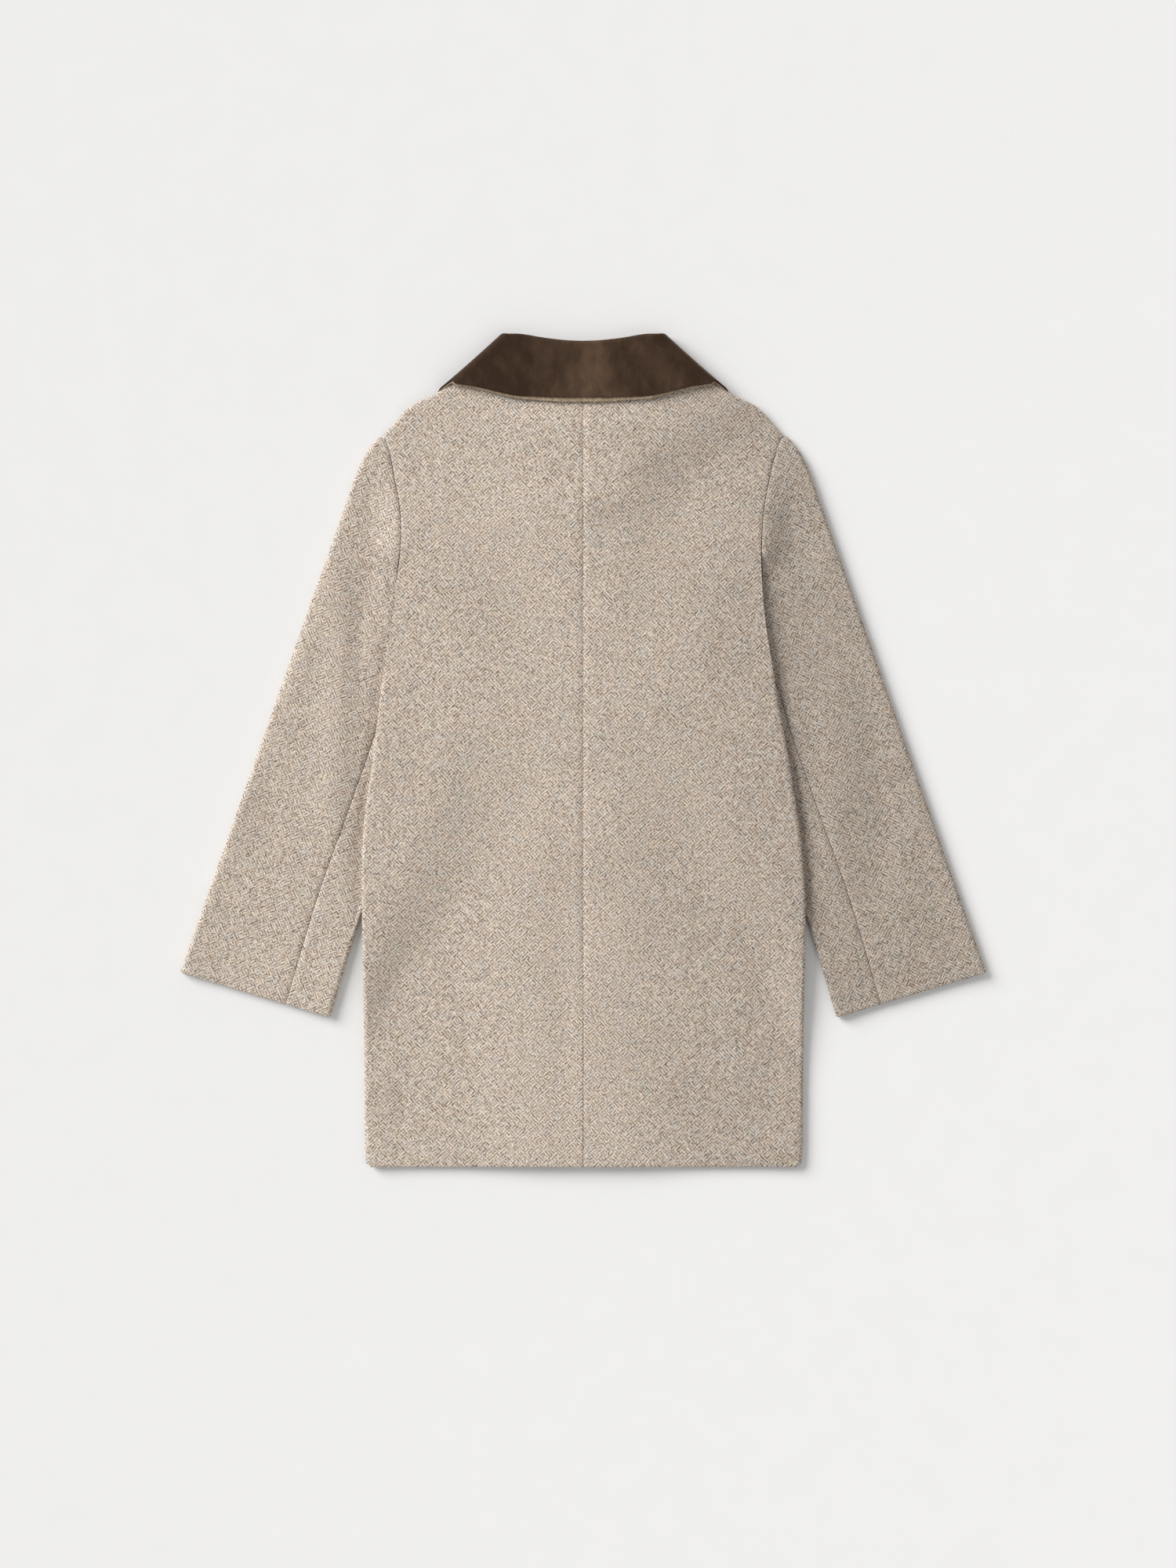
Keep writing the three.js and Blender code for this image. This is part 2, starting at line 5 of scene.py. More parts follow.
import bpy
import numpy as np
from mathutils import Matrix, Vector


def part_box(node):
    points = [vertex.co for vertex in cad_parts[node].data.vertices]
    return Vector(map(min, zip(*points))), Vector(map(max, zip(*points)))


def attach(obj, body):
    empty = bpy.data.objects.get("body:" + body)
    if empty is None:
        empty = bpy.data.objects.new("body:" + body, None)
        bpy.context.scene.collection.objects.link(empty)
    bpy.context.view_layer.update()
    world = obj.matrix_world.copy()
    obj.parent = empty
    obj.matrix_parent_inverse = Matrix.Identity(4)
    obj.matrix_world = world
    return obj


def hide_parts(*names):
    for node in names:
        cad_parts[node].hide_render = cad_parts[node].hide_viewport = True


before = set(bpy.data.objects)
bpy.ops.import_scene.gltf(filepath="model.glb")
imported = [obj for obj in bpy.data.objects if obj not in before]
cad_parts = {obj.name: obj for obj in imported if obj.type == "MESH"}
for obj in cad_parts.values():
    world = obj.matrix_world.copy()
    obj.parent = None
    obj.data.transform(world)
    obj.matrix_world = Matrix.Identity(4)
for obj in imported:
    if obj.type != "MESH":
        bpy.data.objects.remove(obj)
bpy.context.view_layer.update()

# Sizes in millimetres, turned to metres when a mesh is made
MM = 0.001

# Cloth and the way its layers lie
CLOTH = 2.6
CLOTH_SHOWN = 2.2
VELVET = 1.8
VELVET_SHOWN = 1.4
COLLAR_CLOTH = 1.4
COLLAR_CLOTH_SHOWN = 1.0
LAYER_GAP = 0.9
STEP = CLOTH + LAYER_GAP
SLEEVE_LAYERS = 2 * STEP
SIDE_PUFF = 1.0
SIDE_PUFF_INSET = 6.0
SLEEVE_PUFF = 1.5
PUFF_WIDTH = 30.0

# Gaps left at the seams
ARMHOLE_SEAM = 0.35
BACK_SEAM = 0.3
FOLD_SEAM = 0.9

# Outline of the body
HEM_Y = -335.0
SHOULDER_TIP_Y = 252.5
UNDERARM_Y = 56.0
SHOULDER_TIP_X = 160.2
SHOULDER_START_X = 62.0
SHOULDER_FADE = 8.0
NECK_SIDE_X = 48.0
NECK_ROUNDING = 0.4
HEM_CORNER = 4.0

# The side is folded up to this height, and opens out above it over the fade
SIDE_FOLD_TOP = UNDERARM_Y - 18
SIDE_FOLD_FADE = 40.0

# y, then the half width of the back on the left and on the right
BACK_EDGE = np.array([
    (-335, 174.4, 175.0),
    (-320, 175.4, 176.2),
    (-217, 176.4, 177.0),
    (-132, 177.7, 178.3),
    (-91, 177.7, 176.4),
    (-53, 175.5, 171.9),
    (-15, 169.8, 166.0),
    (29, 164.4, 158.1),
    (67, 159.4, 151.6),
    (101, 153.1, 146.2),
    (133, 149.6, 143.3),
    (161, 146.5, 142.6),
    (191, 146.8, 144.6),
    (217, 151.5, 149.3),
    (236, 155.0, 153.7),
    (252.5, 160.2, 160.2),
])

# y, then how far inside the back armhole the front one lies
FRONT_SCOOP = np.array([(56, 0), (75, 7), (100, 13), (150, 15), (200, 9), (235, 3), (252.5, 0)])

# x, y along the neck seam and the shoulder
SHOULDER = [
    (72, 303.5),
    (86, 299.5),
    (100, 295.5),
    (108, 292.3),
    (115, 287.2),
    (121, 284),
    (130, 280),
    (140, 274.4),
    (160.2, 252.5),
]
BACK_TOP = np.array([(0, 303), (30, 303.6), (50, 305), *SHOULDER])
FRONT_TOP = np.array([(-20, 260), (0, 261), (22, 265), (36, 272), (50, 283), *SHOULDER])

# Sleeve sections run inward and down at this slope, and a section is named by y - slope * x
SECTION_SLOPE = 0.3
CUFF_LEVEL = -276.2
CAP_LEVEL = 201.5
FOLD_TOP_LEVEL = 105.0
UNDERARM_LEVEL = 12.0
SLEEVE_OUTER = np.array([
    (-200, 331.2),
    (-179, 323.8),
    (-60, 281.8),
    (60, 239.4),
    (160, 204),
    (199, 190.3),
    (218, 183.6),
    (237, 174.8),
    (254, 161.4),
])
SLEEVE_INNER = np.array([
    (-260, 216.7),
    (-215, 202.9),
    (-135, 178.3),
    (-80, 157),
    (-32, 138),
    (10, 122),
    (50, 112),
    (90, 110),
    (143, 120),
])
BACK_SEAM_SHARE = np.array([(-276, 0.703), (12, 0.65)])
FRONT_SEAM_WIDTH = 24.0
FRONT_SEAM_START = 6.0
FRONT_SEAM_SPREAD = 70.0
CROSSING_TURNS = 14

# Under the armhole the top sleeve laps under the back
ARMHOLE_LAP = 4.0
ARMHOLE_LAP_LEVEL = FOLD_TOP_LEVEL - 6
ARMHOLE_LAP_FADE = 30.0

# Levels over which the back seam leaves the body's side
SEAM_LEAVES_OVER = 28.0

# The sleeve's own puffs: the inner fold's near the cuff, the outer fold's below the cap
INNER_PUFF_LEVEL = -196.0
INNER_PUFF_FADE = 40.0
OUTER_PUFF_FADE = 30.0

# The sleeve follows the body's rise at the armhole, less below it, and no more lower down
FOLLOW_LEVEL = FOLD_TOP_LEVEL + 12
FOLLOW_FADE = 20.0
FOLLOW_BELOW = 0.15
FOLLOW_END_LEVEL = 70.0
FOLLOW_END_FADE = 60.0
FOLLOW_WIDTH = 26.0

# Ramps where the body climbs over what lies under it. The sleeve's is short near the hem
SLEEVE_RAMP = (34.0, 80.0)
SLEEVE_RAMP_FROM = (-220.0, 160.0)
SLEEVE_RAMP_CLEAR = 8.0
COLLAR_RAMP = 45.0
COLLAR_RAMP_CLEAR = 4.0

# Front closure
OVERLAP = 18.0
OVERLAP_CLEAR = 7.0
OVERLAP_RAMP = 30.0
OVERLAP_FADE = (256.0, 292.0)
BUTTON_Y = (176.0, 102.0, 28.0, -46.0)
BUTTON_RADIUS = 10.0
BUTTON_THICK = 2.4
BUTTON_SEAT = 0.4
BUTTON_RAMP = 22.0
BUTTON_ROW_RAMP = 60.0
BACK_RAMP = 85.0

# Collar, from the centre back to the side: x and y on the fold line, then on the lower edge
COLLAR_BACK = np.array([
    (0, 323.2, 0, 281.5),
    (12, 323.6, 18, 281.3),
    (24, 324.8, 36, 282.0),
    (36, 326.5, 53, 282.8),
    (46, 328.4, 69, 286),
    (54, 329.6, 86, 290.0),
])
COLLAR_FRONT = np.array([(48, 312, 92, 268.5), (28, 290, 56, 247.5), (8, 268, 16, 226)])
COLLAR_SIDE = np.array([(66.6, 332.5), (115.3, 289.4)])
COLLAR_WRAP_WIDTH = 6.0
COLLAR_FOLD_RADIUS = 3.2
COLLAR_EDGE_SHIFT = (-11.5, 8.0)
COLLAR_SHIFT_FROM = 35.0
COLLAR_FOLD_SHIFT = 3.0
COLLAR_POINT_LINE = (20.0, 228.0, 0.643)
UNDER_COLLAR_PROUD = (3.4, 1.2)
STAND_LENGTH = (19.0, 2.0)
COLLAR_SEAM = 0.75
COLLAR_SEAM_SHOWN = 0.15
COLLAR_DEPTH = VELVET_SHOWN / 2 + COLLAR_SEAM_SHOWN + COLLAR_CLOTH_SHOWN / 2
COLLAR_UNDER_FRONT = VELVET + COLLAR_SEAM + COLLAR_CLOTH + LAYER_GAP
COLLAR_TOP = COLLAR_UNDER_FRONT + STEP + CLOTH + 2 * LAYER_GAP + COLLAR_CLOTH + COLLAR_SEAM + VELVET
COLLAR_MIDDLE = COLLAR_TOP / 2
COLLAR_HALF_HEIGHT = (COLLAR_TOP - VELVET) / 2

# The velvet sags between its fold and its edge by up to this much, in waves along the collar
VELVET_SAG = 0.35
SAG_TURN = 0.19
SAG_START = 1.2

# Soft creases on the side that shows: x1, y1, x2, y2, half width, height, below zero for a trough
BODY_CREASES = [
    (-14, -140, -20, -300, 10, -0.6),
    (-40, -60, -34, -315, 16, 0.25),
    (34, 60, 52, -290, 20, -0.16),
    (92, 175, 118, -120, 22, 0.2),
    (-96, 170, -112, -60, 22, 0.2),
    (-132, 20, -126, -300, 18, -0.22),
    (150, -130, 153, -325, 15, -0.6),
    (79, 240, 62, 205, 14, -0.3),
    (-135, 262, -112, 236, 12, -0.35),
    (112, 222, 88, 178, 14, 0.2),
    (150, 70, 118, 96, 7, -0.35),
    (-155, 84, -124, 104, 8, -0.35),
    (-60, -318, -84, -180, 18, -0.16),
    (86, -322, 78, -190, 18, 0.16),
]
SLEEVE_CREASES = {
    "right": [
        (196, 92, 207, -145, 20, 2.3),
        (233, 40, 241, -135, 10, -0.85),
        (186, 160, 204, 100, 12, 0.9),
        (172, 196, 184, 140, 9, -0.5),
        (254, -70, 262, -150, 12, 0.7),
        (176, 20, 198, -8, 7, -0.5),
    ],
    "left": [
        (156.5, 136, 152.5, 121, 3.2, -0.9),
        (160.5, 138, 156.5, 120, 3.0, 0.5),
        (199, 150, 199, -100, 14, 3.2),
        (216, 150, 236, -90, 20, 1.3),
        (188, -58, 194, -74, 3.6, -0.8),
        (193, -56, 199, -72, 3.6, 0.6),
        (174, 150, 182, 60, 8, -0.7),
        (262, -90, 286, -170, 14, 0.6),
    ],
}

# A crease wanders by a share of its length, fades at both ends and keeps clear of a sleeve's edges
CREASE_WANDER = 0.014
CREASE_TURN = 3.1
CREASE_PAST_END = 0.12
CREASE_FADE = 0.4
CREASE_CLEAR = (6.0, 12.0)

# A seam's pressed groove: depth and width
SEAM_GROOVE = (0.9, 1.8)

# Where each groove starts, and the length over which it deepens
CENTRE_GROOVE = (-250.0, 110.0)
ARMHOLE_GROOVE = (140.0, 40.0)
CAP_GROOVE = (95.0, 30.0)

# Where a sleeve dips beside the body's side: depth, width, distance out from that side, then its levels
EDGE_DIP = (1.3, 5.5, 2.0)
EDGE_DIP_LEVELS = (-235.0, 70.0)
EDGE_DIP_FADE = 50.0

# How finely each mesh is drawn: millimetres between rows, or the number of points along a row
BACK_SPACING = 3.2
FRONT_SPACING = 6.5
SLEEVE_SPACING = 3.4
PANEL_WIDTH = 175.0
CURL_POINTS = 8
FOLD_POINTS = 12
TOP_SLEEVE_POINTS = (42, 16)
UNDER_SLEEVE_POINTS = (22, 8)
LEAST_WIDTH = 0.2
COLLAR_BACK_ROWS = 34
COLLAR_WRAP_ROWS = 19
COLLAR_FRONT_ROWS = 24
VELVET_FOLD = (120, 8, 12)
VELVET_POINTS = 22
COLLAR_CLOTH_FOLD = (180, 10, 12)
COLLAR_CLOTH_POINTS = 20

# Colours, as linear red, green and blue
WOOL_WHITE = (0.86, 0.765, 0.655)
WOOL_CREAM = (0.665, 0.575, 0.48)
WOOL_BEIGE = (0.535, 0.448, 0.366)
WOOL_TAN = (0.385, 0.305, 0.24)
WOOL_BROWN = (0.15, 0.11, 0.082)
WOOL_FLECK = (0.17, 0.125, 0.09)
VELVET_DARK = (0.038, 0.021, 0.0125)
VELVET_MIDDLE = (0.062, 0.037, 0.023)
VELVET_LIGHT = (0.115, 0.070, 0.043)
COLLAR_BROWN = (0.24, 0.17, 0.11)
COLLAR_TAN = (0.40, 0.30, 0.20)
COLLAR_PALE = (0.55, 0.45, 0.33)
HORN_DARK = (0.02, 0.012, 0.008)
HORN_LIGHT = (0.10, 0.06, 0.035)
FLOOR_COLOUR = (0.86, 0.855, 0.845)

# Each side's sign along X, and its column in the table of the back's edge
SIDES = {"left": (-1, 1), "right": (1, 2)}


def through(table, column=1):
    """A smooth curve through a table's rows, as a function of its first column."""
    rows = table[np.argsort(table[:, 0])]
    xs, ys = rows[:, 0], rows[:, column]
    before = np.maximum(np.arange(len(xs)) - 1, 0)
    after = np.minimum(np.arange(len(xs)) + 1, len(xs) - 1)
    slopes = (ys[after] - ys[before]) / (xs[after] - xs[before])

    def value(at):
        at = np.asarray(at, float)
        i = np.clip(np.searchsorted(xs, at), 1, len(xs) - 1)
        span = xs[i] - xs[i - 1]
        s = np.clip((at - xs[i - 1]) / span, 0, 1)
        rise = s * s * (3 - 2 * s)
        leave = s * (1 - s) ** 2 * span * slopes[i - 1]
        arrive = s * s * (s - 1) * span * slopes[i]
        return ys[i - 1] * (1 - rise) + ys[i] * rise + leave + arrive

    return value


def smooth(s):
    """0 up to s = 0, 1 from s = 1, and a soft step between."""
    s = np.clip(s, 0, 1)
    return s * s * (3 - 2 * s)


def fall(s):
    return 1 - smooth(s)


def mix(a, b, s):
    return a + (b - a) * s


def past(at, start, spread):
    """A soft step from 0 to 1 that begins at start and takes spread."""
    return smooth((at - start) / spread)


EDGE = {name: through(BACK_EDGE, column) for name, (_, column) in SIDES.items()}
scoop = through(FRONT_SCOOP)
back_top = through(BACK_TOP)
front_top = through(FRONT_TOP)
sleeve_outer = through(SLEEVE_OUTER)
sleeve_inner = through(SLEEVE_INNER)
back_seam_share = through(BACK_SEAM_SHARE)


def crossing(edge, level):
    """Where a sleeve section crosses an edge that is given as x by y."""
    x = edge(level)
    for _ in range(CROSSING_TURNS):
        x = edge(level + SECTION_SLOPE * x)
    return x


def closed(y):
    """1 where the side is folded, below the underarm, and 0 at the armhole."""
    return fall((y - SIDE_FOLD_TOP) / SIDE_FOLD_FADE)


def sleeve_rise(across, y):
    """Rise of the body over the part of the sleeve that lies under it."""
    level = y - SECTION_SLOPE * across
    beside = np.maximum(crossing(sleeve_inner, np.minimum(level, FOLD_TOP_LEVEL)) - across, 0)
    above = np.maximum(level - FOLD_TOP_LEVEL, 0)
    away = np.maximum(np.hypot(beside, above) - SLEEVE_RAMP_CLEAR, 0)
    return SLEEVE_LAYERS * fall(away / mix(*SLEEVE_RAMP, past(y, *SLEEVE_RAMP_FROM)))


def collar_rise(across, y):
    """Rise of the body over the collar's front ends."""
    x0, y0, slope = COLLAR_POINT_LINE
    below = (y0 + slope * (across - x0) - y) / math.hypot(1, slope)
    return COLLAR_UNDER_FRONT * fall((below - COLLAR_RAMP_CLEAR) / COLLAR_RAMP)


def button_rise(across, y, ramp=BUTTON_RAMP):
    """Rise of the fronts over the row of buttons."""
    beside = fall((across - BUTTON_RADIUS - 1) / ramp)
    above = fall((y - BUTTON_Y[0] - 2 * BUTTON_RADIUS) / BUTTON_RAMP)
    below = fall((BUTTON_Y[-1] - 2 * BUTTON_RADIUS - y) / BUTTON_ROW_RAMP)
    return (BUTTON_THICK + BUTTON_SEAT) * beside * above * below


def overlap_rise(x, y, ramp=OVERLAP_RAMP):
    """Rise of a layer over the edge of the front that lies lowest."""
    beside = fall((x - OVERLAP - OVERLAP_CLEAR) / ramp)
    above = fall((y - OVERLAP_FADE[0]) / (OVERLAP_FADE[1] - OVERLAP_FADE[0]))
    return STEP * beside * above


def body_rise(x, y, button_ramp=BUTTON_RAMP):
    across = np.abs(x)
    return sleeve_rise(across, y) + collar_rise(across, y) + button_rise(across, y, button_ramp)


def back_rise(side, across, y):
    puff = SIDE_PUFF * closed(y) * fall((EDGE[side](y) - SIDE_PUFF_INSET - across) / PUFF_WIDTH)
    return body_rise(across, y, BACK_RAMP) + overlap_rise(across, y, BACK_RAMP) + STEP + puff


def front_rise(side, across, y):
    rise = body_rise(across, y)
    return rise + overlap_rise(across, y) if side == "left" else rise


def creases(x, y, table):
    """Height of soft creases, each fading towards both of its ends."""
    height = np.zeros(np.broadcast(x, y).shape)
    for x1, y1, x2, y2, width, size in table:
        length = math.hypot(x2 - x1, y2 - y1)
        along = ((x - x1) * (x2 - x1) + (y - y1) * (y2 - y1)) / length ** 2
        off = ((x - x1) * (y2 - y1) - (y - y1) * (x2 - x1)) / length
        bend = off + CREASE_WANDER * length * np.sin(CREASE_TURN * np.clip(along, 0, 1) + x1)
        start = smooth((along + CREASE_PAST_END) / CREASE_FADE)
        ends = start * smooth((1 + CREASE_PAST_END - along) / CREASE_FADE)
        height = height + size * ends * np.exp(-((bend / width) ** 2))
    return height


def groove(distance):
    """A seam's soft groove at a distance from it."""
    depth, width = SEAM_GROOVE
    return -depth * np.exp(-((distance / width) ** 2))


def curl(radius, share, steps):
    """Steps of an edge that turns through a quarter circle when closed and runs straight when open."""
    length = radius * math.pi / 2 - FOLD_SEAM / 2
    if share < 0.01:
        return steps * length, np.zeros(len(steps))
    angle = share * steps * length / radius
    return radius / share * np.sin(angle), radius / share * (1 - np.cos(angle))


def body_panel(side, first_x, edge, top, height, curl_up, spacing):
    """Middle points of a body panel, rows from the hem to the shoulder."""
    sign = SIDES[side][0]
    steps = np.linspace(0, 1, CURL_POINTS)
    tip_out, tip_drop = curl(STEP / 2, 1, steps)
    tip_low = SHOULDER_TIP_Y - CLOTH / 2 - tip_out[-1]
    count = int((tip_low - HEM_Y) / spacing)
    rows = [(share, None) for share in np.linspace(0, 1, count)]
    rows += [(1, k) for k in range(1, len(steps))]
    columns = int(PANEL_WIDTH / spacing)
    grid = []
    for share, top_step in rows:
        edge_y = mix(HEM_Y, tip_low, share) + (0 if top_step is None else tip_out[top_step])
        folded = float(closed(edge_y))
        out, drop = curl((STEP + SIDE_PUFF * folded) / 2, folded, steps)
        limit = float(edge(edge_y)) - hem_corner(edge_y)
        start = limit - folded * CLOTH / 2 - out[-1]
        x = np.concatenate([np.linspace(first_x, start, columns), start + out[1:]])
        down = np.concatenate([np.zeros(columns), drop[1:]])
        top_x = np.where(x > NECK_SIDE_X, x / float(edge(edge_y)) * SHOULDER_TIP_X, x)
        shoulder = past(top_x, SHOULDER_START_X, SHOULDER_FADE)
        low = top(top_x) - shoulder * (CLOTH / 2 + tip_out[-1])
        step_out = 0 if top_step is None else tip_out[top_step] * mix(NECK_ROUNDING, 1, shoulder)
        step_down = 0 if top_step is None else tip_drop[top_step] * shoulder
        y = HEM_Y + share * (low - HEM_Y) + step_out
        z = height(x, y) + CLOTH / 2 + curl_up * (down + step_down)
        grid.append(np.stack([sign * x, y, z], axis=-1))
    return np.array(grid)


def hem_corner(y):
    """How far a rounded hem corner draws the side in."""
    near = max(HEM_CORNER - (y - HEM_Y), 0)
    return HEM_CORNER - math.sqrt(HEM_CORNER ** 2 - near ** 2) if near else 0


def back_panel(side):
    sign = SIDES[side][0]

    def height(x, y):
        armhole = np.abs(EDGE[side](y) - x)
        centre_seam = groove(x) * past(y, *CENTRE_GROOVE)
        armhole_seam = groove(armhole) * (1 - closed(y)) * past(y, *ARMHOLE_GROOVE)
        return back_rise(side, x, y) + creases(sign * x, y, BODY_CREASES) + (centre_seam + armhole_seam)

    return body_panel(side, BACK_SEAM / 2, EDGE[side], back_top, height, -1, BACK_SPACING)


def front_panel(side):
    return body_panel(
        side,
        -OVERLAP,
        lambda y: EDGE[side](y) - scoop(y),
        front_top,
        lambda x, y: front_rise(side, x, y),
        1,
        FRONT_SPACING,
    )


def sleeve_section(side, level):
    """One section of a sleeve: its folds, seams and armhole edges, all as x on that section."""
    edge = EDGE[side]
    outer = float(crossing(sleeve_outer, level))
    inner = float(crossing(sleeve_inner, min(level, FOLD_TOP_LEVEL)))
    back_edge = float(crossing(edge, level))
    front_edge = float(crossing(lambda y: edge(y) - scoop(y), level))
    lap = mix(-ARMHOLE_SEAM, ARMHOLE_LAP, smooth((ARMHOLE_LAP_LEVEL - level) / ARMHOLE_LAP_FADE))
    back_seam = outer - float(back_seam_share(level)) * (outer - inner)
    below = smooth((UNDERARM_LEVEL - level) / SEAM_LEAVES_OVER + 0.5)
    upper_start = mix(back_edge - lap, back_seam, below)
    upper_end = mix(min(front_edge, upper_start - BACK_SEAM), upper_start - BACK_SEAM, below)
    spread_below = smooth((FOLD_TOP_LEVEL - level) / FRONT_SEAM_SPREAD)
    seam_width = mix(FRONT_SEAM_START, FRONT_SEAM_WIDTH, spread_below)
    lower_start = inner + seam_width + BACK_SEAM
    if level > FOLD_TOP_LEVEL:
        lower_start = front_edge + ARMHOLE_SEAM
    inner_puff = SLEEVE_PUFF * smooth((INNER_PUFF_LEVEL - level) / INNER_PUFF_FADE)
    outer_puff = SLEEVE_PUFF * smooth((CAP_LEVEL - level) / OUTER_PUFF_FADE)
    follow = mix(1, FOLLOW_BELOW, smooth((FOLLOW_LEVEL - level) / FOLLOW_FADE))
    follow = follow * fall((FOLLOW_END_LEVEL - level) / FOLLOW_END_FADE)
    seam_rise = follow * (float(back_rise(side, back_edge, level + SECTION_SLOPE * back_edge)) - STEP)
    lowest, highest = EDGE_DIP_LEVELS
    beside = smooth((highest - level) / EDGE_DIP_FADE) * smooth((level - lowest) / EDGE_DIP_FADE)

    def height(x):
        y = level + SECTION_SLOPE * x
        rise = STEP + outer_puff * fall((outer - x) / PUFF_WIDTH)
        rise = rise + inner_puff * fall((x - inner) / PUFF_WIDTH)
        rise = rise + np.where(x < upper_start, 0, seam_rise * fall((x - back_edge) / FOLLOW_WIDTH))
        clear = smooth((x - back_edge) / CREASE_CLEAR[0]) * smooth((outer - x) / CREASE_CLEAR[1])
        seam = groove(np.abs(x - back_seam)) * below
        seam = seam + groove(np.abs(x - back_edge)) * past(level, *CAP_GROOVE)
        depth, width, out = EDGE_DIP
        dip = depth * np.exp(-(((x - back_edge - out) / width) ** 2))
        return rise + clear * creases(x, y, SLEEVE_CREASES[side]) + seam - dip * beside

    return {
        "outer": outer,
        "inner": inner,
        "upper_start": upper_start,
        "upper_end": upper_end,
        "lower_start": lower_start,
        "seam_width": seam_width,
        "outer_puff": outer_puff,
        "inner_puff": inner_puff,
        "height": height,
    }


def fold_points(fold_x, sign, puff):
    """A half circle between the upper and the lower layer at a fold."""
    radius = (STEP + puff) / 2
    centre = fold_x - sign * (CLOTH / 2 + radius)
    angle = np.linspace(0, math.pi, FOLD_POINTS)[1:-1]
    return centre, centre + sign * radius * np.sin(angle), CLOTH / 2 + radius * (1 + np.cos(angle))


def sleeve_grid(side, top_level, profile):
    """Middle points of a sleeve piece, one row for each section down to the cuff."""
    sign = SIDES[side][0]
    count = int((top_level - CUFF_LEVEL) / SLEEVE_SPACING)
    grid = []
    for level in np.linspace(top_level, CUFF_LEVEL, count):
        x, z = profile(sleeve_section(side, float(level)))
        grid.append(np.stack([sign * x, level + SECTION_SLOPE * x, z], axis=-1))
    return np.array(grid)


def section_points(section, upper, fold_x, fold_z, lower):
    """x and z along a section: its upper layer, its fold and its lower layer."""
    upper_z = section["height"](upper) + CLOTH / 2
    lower_z = np.full(len(lower), CLOTH / 2)
    return np.concatenate([upper, fold_x, lower]), np.concatenate([upper_z, fold_z, lower_z])


def top_sleeve(side):
    def profile(section):
        centre, fold_x, fold_z = fold_points(section["outer"], 1, section["outer_puff"])
        start = min(section["upper_start"], centre - LEAST_WIDTH)
        end = min(section["lower_start"], centre - LEAST_WIDTH)
        upper = np.linspace(start, centre, TOP_SLEEVE_POINTS[0])
        lower = np.linspace(centre, end, TOP_SLEEVE_POINTS[1])
        return section_points(section, upper, fold_x, fold_z, lower)

    return sleeve_grid(side, CAP_LEVEL, profile)


def under_sleeve(side):
    def profile(section):
        centre, fold_x, fold_z = fold_points(section["inner"], -1, section["inner_puff"])
        end = section["inner"] + section["seam_width"]
        upper = np.linspace(section["upper_end"], centre, UNDER_SLEEVE_POINTS[0])
        lower = np.linspace(centre, end, UNDER_SLEEVE_POINTS[1])
        return section_points(section, upper, fold_x, fold_z, lower)

    return sleeve_grid(side, FOLD_TOP_LEVEL, profile)


# Plan direction along the collar's side, and out of it
side_along = (COLLAR_SIDE[1] - COLLAR_SIDE[0]) / np.linalg.norm(COLLAR_SIDE[1] - COLLAR_SIDE[0])
side_out = np.array([-side_along[1], side_along[0]])


def wrap_row(turn):
    """Fold and edge points where the collar turns from the back (0) to the front (180)."""
    angle = math.radians(turn)
    inset = COLLAR_WRAP_WIDTH * (1 - math.sin(angle)) + VELVET / 2 * math.sin(angle)
    back, front = COLLAR_EDGE_SHIFT
    shift = front * (turn / 90 - 1)
    if turn < 90:
        shift = back * fall((turn - COLLAR_SHIFT_FROM) / (90 - COLLAR_SHIFT_FROM))
    fold = COLLAR_SIDE[0] - side_out * inset - side_along * COLLAR_FOLD_SHIFT * (1 - math.sin(angle))
    edge = COLLAR_SIDE[1] - side_out * inset + side_along * shift
    return (*fold, *edge, angle)


def spread(table, angle, count):
    """Evenly spaced rows along a smooth curve through a collar table."""
    knots = np.linspace(0, 1, len(table))
    at = np.linspace(0, 1, count)
    columns = [through(np.column_stack([knots, table[:, k]]))(at) for k in range(4)]
    return [(*row, angle) for row in np.column_stack(columns)]


def collar_rows():
    """Rows of half the collar, from the centre back round the side to the front point."""
    start, end = np.array(wrap_row(0)[:4]), np.array(wrap_row(180)[:4])
    rows = spread(np.vstack([COLLAR_BACK, start]), 0.0, COLLAR_BACK_ROWS)[:-1]
    rows += [wrap_row(turn) for turn in np.linspace(0, 180, COLLAR_WRAP_ROWS)]
    rows += spread(np.vstack([end, COLLAR_FRONT]), math.pi, COLLAR_FRONT_ROWS)[1:]
    return rows


def collar_points(row, depth, stand, fold_angles, count, proud, waves=0.0):
    """Middle points of one collar row, a depth inside the velvet's middle surface.

    They run from the stand over the fold to the edge, and stand proud of the velvet's edge.
    """
    fold, edge, angle = np.array(row[:2]), np.array(row[2:4]), row[4]
    inward = np.array([*(-side_out * math.sin(angle)), -math.cos(angle)])
    down = np.array([*((edge - fold) / np.linalg.norm(edge - fold)), 0])
    radius = COLLAR_FOLD_RADIUS - depth
    base = np.array([*fold, COLLAR_MIDDLE + COLLAR_HALF_HEIGHT * math.cos(angle)]) + inward * depth
    points = [base + inward * 2 * radius + down * length for length in stand]
    for degrees in fold_angles:
        turn = math.radians(degrees)
        points.append(base - down * radius * math.sin(turn) + inward * radius * (1 - math.cos(turn)))
    length = np.linalg.norm(edge - fold) + proud
    for share in np.linspace(0, 1, count):
        wave = 0.5 + 0.5 * math.sin(row[0] * SAG_TURN + SAG_START)
        sag = waves * math.sin(math.pi * share) * wave
        points.append(base + down * share * length + inward * sag)
    return points


def both_halves(half):
    mirrored = [[np.array([-p[0], p[1], p[2]]) for p in row] for row in half[1:]]
    return np.array(mirrored[::-1] + half)


def upper_collar():
    fold = np.linspace(*VELVET_FOLD)
    return both_halves([
        collar_points(row, 0, [], fold, VELVET_POINTS, 0, VELVET_SAG) for row in collar_rows()
    ])


